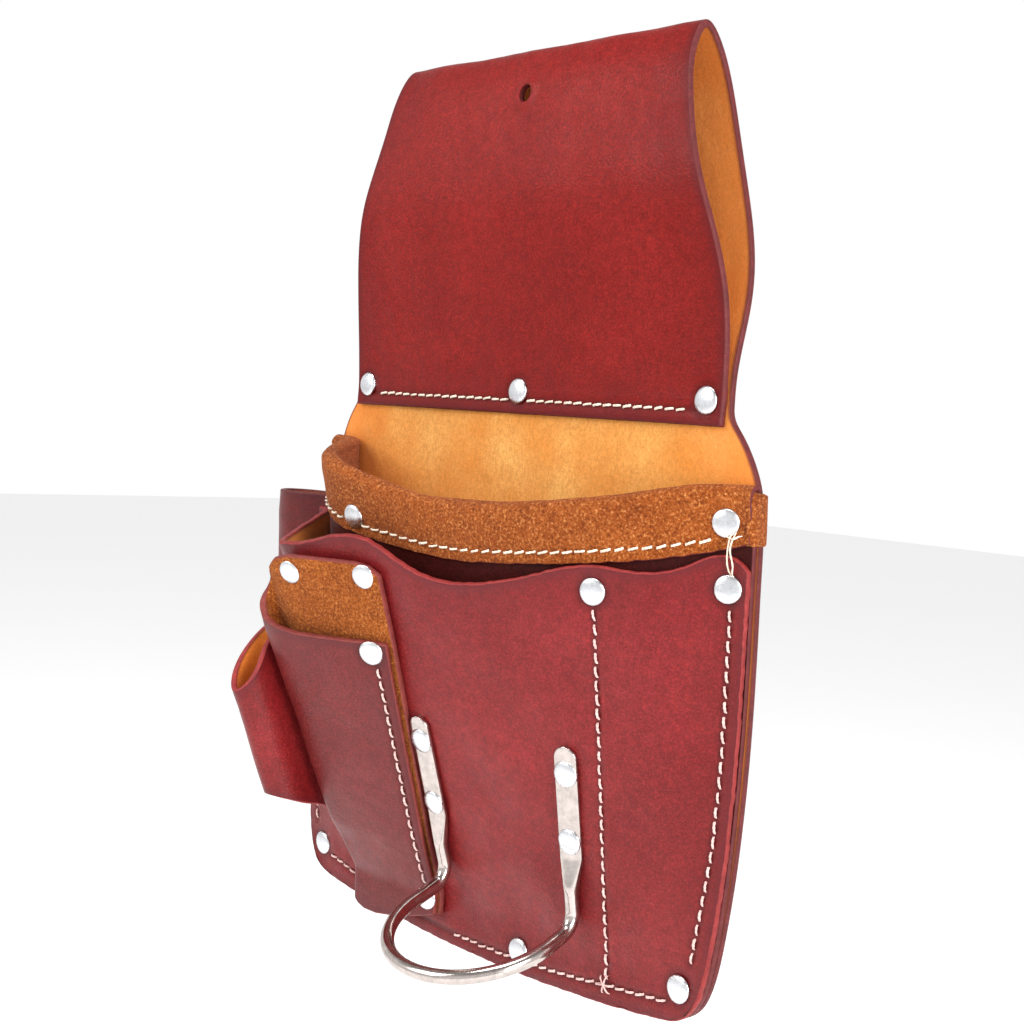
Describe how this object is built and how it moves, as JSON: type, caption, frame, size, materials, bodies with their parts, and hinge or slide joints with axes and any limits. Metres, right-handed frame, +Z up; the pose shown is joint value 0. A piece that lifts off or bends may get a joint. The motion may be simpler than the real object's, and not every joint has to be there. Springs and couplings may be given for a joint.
{
  "type": "electrician tool pouch",
  "caption": "Leather belt pouch with stepped pockets, a plier sleeve, strap tool loops and a wire hammer loop, riveted and stitched.",
  "frame": {"origin": "inside top of the belt loop, where the belt bears, at mid width, level with the pouch's flat back", "axes": "+X to the viewer's right when looking at the pouch's front, +Y into the wearer's side, +Z up"},
  "size_m": [0.289, 0.091, 0.37],
  "materials": {
    "burgundy_leather": "satin grain outside, tan flesh side inside",
    "brown_suede": "napped suede",
    "bright_steel_wire": "polished",
    "nickel_rivets": "satin nickel",
    "waxed_thread": "waxed twisted thread"
  },
  "bodies": {
    "root": {"back_panel": "burgundy_leather", "band_left_rivet_caps": "nickel_rivets", "band_left_rivets": "nickel_rivets", "band_rivet_caps": "nickel_rivets", "band_rivets": "nickel_rivets", "band_seam": "waxed_thread", "bottom_left_seam": "waxed_thread", "bottom_left_seam_behind": "waxed_thread", "bottom_right_seam": "waxed_thread", "bottom_right_seam_behind": "waxed_thread", "divider_rivet_caps": "nickel_rivets", "divider_rivets": "nickel_rivets", "divider_seam": "waxed_thread", "flap_rivet_caps": "nickel_rivets", "flap_rivets": "nickel_rivets", "flap_seam": "waxed_thread", "flap_seam_behind": "waxed_thread", "front_panel": "burgundy_leather", "front_tool_loop": "burgundy_leather", "hammer_loop": "bright_steel_wire", "hammer_loop_rivet_caps": "nickel_rivets", "hammer_loop_rivets": "nickel_rivets", "left_seam": "waxed_thread", "left_seam_behind": "waxed_thread", "main_pocket": "burgundy_leather", "panel_edge_rivet_caps": "nickel_rivets", "panel_edge_rivets": "nickel_rivets", "plier_back_rivet_caps": "nickel_rivets", "plier_back_rivets": "nickel_rivets", "plier_foot_rivet_caps": "nickel_rivets", "plier_foot_rivets": "nickel_rivets", "plier_front_rivet_caps": "nickel_rivets", "plier_front_rivets": "nickel_rivets", "plier_pocket": "burgundy_leather", "plier_pocket_seam": "waxed_thread", "right_seam": "waxed_thread", "right_seam_behind": "waxed_thread", "side_loop_rivet_caps": "nickel_rivets", "side_loop_rivets": "nickel_rivets", "side_tool_loop": "burgundy_leather", "suede_band": "brown_suede"}
  },
  "joints": []
}
